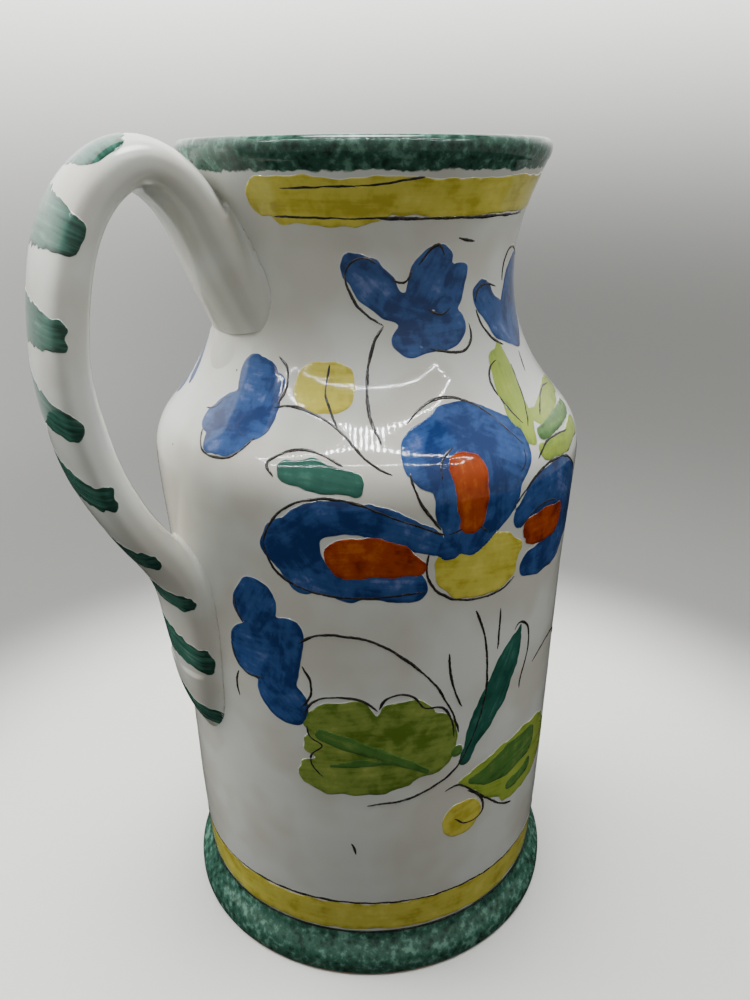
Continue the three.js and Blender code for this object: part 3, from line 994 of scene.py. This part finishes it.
both_sides("light_leaves", light_green, "leaf_glaze", [
    (105, 180, 20, 10.5, 84),
    (103.5, 169.5, 10, 6, 60),
    (100.5, 173, 11, 4.5, 80),
    [(111, 171.2, 2.5), (119, 172, 3.5), (131, 174.5, 3.4), (140, 174, 2.4)],
    [(106, 164, 2.2), (118, 163.2, 3.0), (132, 164.5, 2.6)],
    [(83.5, 67, 1.2), (90, 66.5, 4.6), (98, 64.5, 9.6), (107, 62.5, 12.5), (117, 62, 11), (123, 61, 7)],
], [
    [(99, 178), (98, 181), (100, 184.5), (104, 186)],
    [(111.5, 184), (110.5, 179), (108, 174), (104, 170)],
    [(99, 178), (101, 174), (103, 171)],
    [(103, 162.5), (107, 165), (114, 165.8), (122, 165)],
    [(112, 171), (118, 174), (125, 175.7), (134, 175)],
    [(78.5, 65.5), (82, 66.5), (87, 63), (94, 56), (100, 50.5), (105, 48)],
], seed=67)
both_sides("light_leaf_veins", vein_green, "leaf_glaze", [
    [(108, 167.8, 1.9), (120, 168.6, 2.6), (133, 169.5, 2.0)],
    [(87, 66.5, 1.4), (94, 66, 4.0), (102, 67, 6.0), (112, 67, 5.0)],
    [(103, 56, 1.8), (113, 57, 2.6)],
], seed=70, lift=0.15, ragged=0.4)

# Blue-green leaves. Copper blue-green, each leaf one or two pulls of a flat brush that swell in the
# middle and run out to a point.
TEAL_THIN = "#447D6B"
TEAL_FULL = "#2A6153"
TEAL_DEEP = "#174C3E"

blue_green = pigment("copper_blue_green_brushed", TEAL_THIN, TEAL_FULL, TEAL_DEEP, 0.45, 0.7, 0.0)
both_sides("blue_green_leaves", blue_green, "teal_glaze", [
    [(39.5, 165, 3.4), (44.5, 164.8, 4.4), (50, 163.6, 3.9), (54.2, 162.7, 2.9)],
    [(84, 75, 1.0), (88, 84, 3.8), (92.8, 93, 5.8), (97.3, 102, 5.4), (100.5, 109, 3.2), (102, 113, 1.0)],
], [
    [(36, 163.5), (34, 166), (37, 168.5), (42, 169.7), (48, 168.5), (52, 166.8)],
    [(99.5, 112.5), (101, 114), (104.5, 112.5), (106.5, 107), (106, 100), (104, 93.5), (104, 91)],
], seed=73)

# Handle stripes. Short pulls of sponge green across the strap's outer face, ending in a dark bead
# on the near edge where the brush was lifted.
STRIPES = {63: 11, 79.5: 12, 101.5: 10, 119.5: 10, 138.5: 10, 159.5: 9.5, 178: 9, 198.5: 10.5, 220: 8}
STRIPE_THIN = "#64907F"
STRIPE_FULL = "#417061"
STRIPE_DEEP = "#27463B"
STRIPE_REACH = 13.0
STRIPE_NEAR_REACH = 16.5
FIRST_NEAR_REACH = 12.5

stripe_green = pigment("stripe_green_brushed", STRIPE_THIN, STRIPE_FULL, STRIPE_DEEP, 0.7, 0.35, 0.0)


def girth(along):
    """Arc length in mm round the strap's section against angle from the outer face's middle."""
    sides = np.linspace(-math.pi, math.pi, 721)
    points = strap_face(float(along), sides)
    steps = np.concatenate([[0], np.cumsum(np.linalg.norm(np.diff(points, axis=0), axis=-1))])
    return sides, steps - np.interp(0, sides, steps)


def on_strap(along, across, lift):
    around = np.array([np.interp(a, *stripe_girth[::-1]) for a in np.ravel(across)]).reshape(np.shape(across))
    return strap_face(along, around, lift) * MM


for number, (start, width) in enumerate(STRIPES.items()):
    stripe_girth = girth(start)
    along, across = np.meshgrid(np.arange(start - width, start + width, 0.5), np.arange(-21, 21, 0.5))
    middle = start + (0.32 if number > 2 else 0.12) * across
    near_reach = STRIPE_NEAR_REACH if number else FIRST_NEAR_REACH
    reach = np.where(across > 0, near_reach, STRIPE_REACH) + 0.8 * math.sin(number * 2.1)
    half = width / 2 * (1 - 0.3 * np.clip(across / reach, -1, 1))
    side = half - np.abs(along - middle)
    end = reach - np.abs(across)
    depth = np.minimum(side, end) - 0.35 * np.clip(2 - np.abs(side - end), 0, 2)
    points = strap_face(along, across / 8) + number * 3
    depth = depth + wander(80 + number, 0.35, 4)(points)
    coats = 1 + 1.2 * np.clip((across - reach + 5) / 2.5, 0, 1)
    apart = np.full(along.shape, number * 5.0)
    values = np.stack([along, across, depth, across, along - middle, apart, coats], -1)
    stripe = film(f"handle_stripe_{number + 1}", on_strap, values, FILM, SUNK)
    stripe.data.materials.append(stripe_green)

# Stage. A plain cloth tent: a floor painted pale in a pool of light under the pitcher and painted grey
# as shade beyond it, which curves up into a round wall that glows by emission painted into the cloth,
# brighter at the top and dim on the open front. Soft lamps hang overhead, behind the handle and to the
# right, and a loop of small lamps dots the glaze with bright lines.
TENT_RADIUS = 0.78
TENT_COVE = 0.22
TENT_HEIGHT = 1.1
TENT_STEPS = 160
FRONT = 57.0
# Painted light and painted shade: the cloth's colour inside the floor's pool of light, and outside it.
CLOTH_PAINTED_LIT = "#DDDDDA"
CLOTH_PAINTED_SHADE = "#6E6E6C"
POOL_RADIUS = 0.205
POOL_SOFTNESS = 0.11
LOW_GLOW = 0.15
LEFT_GLOW = 0.36
HIGH_GLOW = 36.0
GLOW_LIMIT = 2.2
FRONT_GLOW = 0.16


def seen_from(turn, distance, height):
    """A place at a distance from the pitcher's axis, turn degrees anticlockwise from the handle."""
    angle = math.radians(turn) + math.pi
    return (distance * math.cos(angle), distance * math.sin(angle), height)


floor_rings = [(r, 0.0) for r in np.linspace(0.05, TENT_RADIUS - TENT_COVE, 12)]
tent_profile = floor_rings[-1:]
for bend in np.linspace(0, math.pi / 2, 14)[1:]:
    tent_profile.append((TENT_RADIUS - TENT_COVE + TENT_COVE * math.sin(bend),
                         TENT_COVE - TENT_COVE * math.cos(bend)))
tent_profile.append((TENT_RADIUS, TENT_HEIGHT))


def hoops(rings, centre):
    """Points and faces of a sheet through rings of (radius, height), in metres, closed at a centre."""
    points = [seen_from(360 * i / TENT_STEPS, r, z) for r, z in rings for i in range(TENT_STEPS)]
    faces = [face[::-1] for face in sheet(len(rings), TENT_STEPS)]
    if centre:
        points.append((0, 0, 0))
        faces += [(len(points) - 1, i, (i + 1) % TENT_STEPS) for i in range(TENT_STEPS)]
    return points, faces


def stage_piece(name, points, faces, material):
    mesh = bpy.data.meshes.new(name)
    mesh.from_pydata(points, [], faces)
    mesh.shade_smooth()
    piece = bpy.data.objects.new(name, mesh)
    bpy.context.scene.collection.objects.link(piece)
    piece.data.materials.append(material)
    return piece


tent_cloth, tree = new_material("white_tent_cloth")
place = add(tree, "TexCoord", out="Object")
across_x = add(tree, "SeparateXYZ", {0: place}, out="X")
split = across_x.node.outputs
flat = add(tree, "CombineXYZ", {"X": across_x, "Y": split["Y"]})
away = add(tree, "VectorMath", {0: flat}, out="Value", operation="LENGTH")
near, far = POOL_RADIUS - POOL_SOFTNESS / 2, POOL_RADIUS + POOL_SOFTNESS / 2
# The pool of light on the floor is painted into the cloth's colour: pale inside, grey painted shade beyond.
painted_pool_of_light = add(tree, "MapRange", {0: away, 1: near, 2: far, 3: 1.0, 4: 0.0}, **EASED)
past_pool = add(tree, "MapRange", {0: away, 1: near, 2: far}, **EASED)
# The cloth's emission is painted light: the wall and the floor beyond the pool glow brighter high up, behind
# and to the left, and dim at the open front.
behind = add(tree, "VectorMath", {0: flat, 1: seen_from(FRONT + 205, 1.0, 0.0)}, out="Value",
             operation="DOT_PRODUCT")
lit_side = add(tree, "MapRange", {0: behind, 1: -0.25, 2: 0.45, 3: FRONT_GLOW, 4: 1.0}, **EASED)
cubed = add(tree, "Math", {0: split["Z"], 1: 3.0}, operation="POWER")
high_glow = add(tree, "Math", {0: cubed, 1: HIGH_GLOW}, operation="MULTIPLY")
capped = add(tree, "Math", {0: high_glow, 1: GLOW_LIMIT}, operation="MINIMUM")
left = add(tree, "VectorMath", {0: flat, 1: seen_from(FRONT - 112, 1.0, 0.0)}, out="Value",
           operation="DOT_PRODUCT")
lit_left = add(tree, "MapRange", {0: left, 1: 0.15, 2: 0.7, 3: LOW_GLOW, 4: LOW_GLOW + LEFT_GLOW}, **EASED)
glow = add(tree, "Math", {0: capped, 1: lit_side, 2: lit_left}, operation="MULTIPLY_ADD")
glow = add(tree, "Math", {0: glow, 1: past_pool}, operation="MULTIPLY")
cloth_painted_light = add(tree, "Mix", {0: painted_pool_of_light, 6: srgb(CLOTH_PAINTED_SHADE), 7: srgb(CLOTH_PAINTED_LIT)}, **COLOURS)
cloth = add(tree, "BsdfPrincipled", {
    "Base Color": cloth_painted_light, "Roughness": 0.9, "Specular IOR Level": 0.1,
    "Emission Color": srgb("#F6F6F2"), "Emission Strength": glow})
add(tree, "OutputMaterial", {"Surface": cloth})
tent_floor = stage_piece("tent_floor", *hoops(floor_rings, True), tent_cloth)
tent_floor.visible_diffuse = False
tent_floor.visible_glossy = False
stage_piece("tent_wall", *hoops(tent_profile, False), tent_cloth)


def soft_lamp(name, place, aim, across, power, spread):
    """A round lamp, a length across in metres, that sends its light out over a spread in degrees."""
    light = bpy.data.lights.new(name, "AREA")
    light.shape, light.size, light.energy, light.spread = "DISK", across, power, math.radians(spread)
    lamp = bpy.data.objects.new(name, light)
    bpy.context.scene.collection.objects.link(lamp)
    lamp.location = place
    lamp.rotation_mode = "QUATERNION"
    lamp.rotation_quaternion = (Vector(aim) - Vector(place)).to_track_quat("-Z", "Y")
    lamp.visible_camera = False
    return lamp


soft_lamp("overhead", (0, 0, 0.80), (0, 0, 0), 0.4, 1.15, 60)
behind_handle = soft_lamp("behind_the_handle", seen_from(-52, 0.50, 0.62), (0, 0, 0.18), 0.5, 1.0, 70)
behind_handle.visible_glossy = False
at_right = soft_lamp("right_of_the_shoulder", seen_from(138, 0.58, 0.62), (0, 0, 0.18), 0.42, 1.3, 180)
at_right.visible_glossy = False

LOOP_WIDE, LOOP_NEAR, LOOP_FAR, LOOP_HEIGHT = 0.38, 0.31, 0.20, 0.45
BEAD = 0.0025
BEAD_GAP = 0.015
corners = [(-LOOP_WIDE, LOOP_NEAR), (LOOP_WIDE, LOOP_NEAR), (LOOP_WIDE, LOOP_FAR), (-LOOP_WIDE, LOOP_FAR)]
facing = math.radians(FRONT) + math.pi
lamp_points, lamp_faces = [], []
for (x0, y0), (x1, y1) in zip(corners, corners[1:] + corners[:1]):
    for share in np.arange(0, 1, BEAD_GAP / math.hypot(x1 - x0, y1 - y0)):
        side, out = x0 + (x1 - x0) * share, y0 + (y1 - y0) * share
        x = out * math.cos(facing) - side * math.sin(facing)
        y = out * math.sin(facing) + side * math.cos(facing)
        first = len(lamp_points)
        for dx, dy in ((-BEAD, -BEAD), (-BEAD, BEAD), (BEAD, BEAD), (BEAD, -BEAD)):
            lamp_points.append((x + dx, y + dy, LOOP_HEIGHT))
        lamp_faces.append(tuple(range(first, first + 4)))
lamp_glow, tree = new_material("small_white_lamps")
add(tree, "OutputMaterial", {"Surface": add(tree, "Emission", {"Color": srgb("#F4F8FF"), "Strength": 260.0})})
lamp_loop = stage_piece("lamp_loop", lamp_points, lamp_faces, lamp_glow)
lamp_loop.visible_camera = False
lamp_loop.visible_diffuse = False

world = bpy.data.worlds.new("tent_air")
world.use_nodes = True
world.node_tree.nodes["Background"].inputs["Color"].default_value = srgb("#E8ECEE")
world.node_tree.nodes["Background"].inputs["Strength"].default_value = 0.02
bpy.context.scene.world = world

# Camera. Held close to the pitcher, a little below its lip and turned down, so that the pitcher
# narrows towards its foot.
camera_data = bpy.data.cameras.new("camera")
camera_data.sensor_width = 36.0
camera_data.lens = 30.3
camera = bpy.data.objects.new("camera", camera_data)
bpy.context.scene.collection.objects.link(camera)
CAMERA_DISTANCE = 0.250
CAMERA_HEIGHT = 0.2335
CAMERA_SIDE = 0.0023
CAMERA_DOWN = 21.7
CAMERA_ROLL = -0.36
heading = math.radians(FRONT - 90)
camera.location = (
    CAMERA_SIDE * math.cos(heading) + CAMERA_DISTANCE * math.sin(heading),
    CAMERA_SIDE * math.sin(heading) - CAMERA_DISTANCE * math.cos(heading),
    CAMERA_HEIGHT,
)
turn_to = Matrix.Rotation(heading, 4, "Z") @ Matrix.Rotation(math.radians(90 - CAMERA_DOWN), 4, "X")
turn_to = turn_to @ Matrix.Rotation(math.radians(CAMERA_ROLL), 4, "Z")
camera.rotation_euler = turn_to.to_euler()
bpy.context.scene.camera = camera
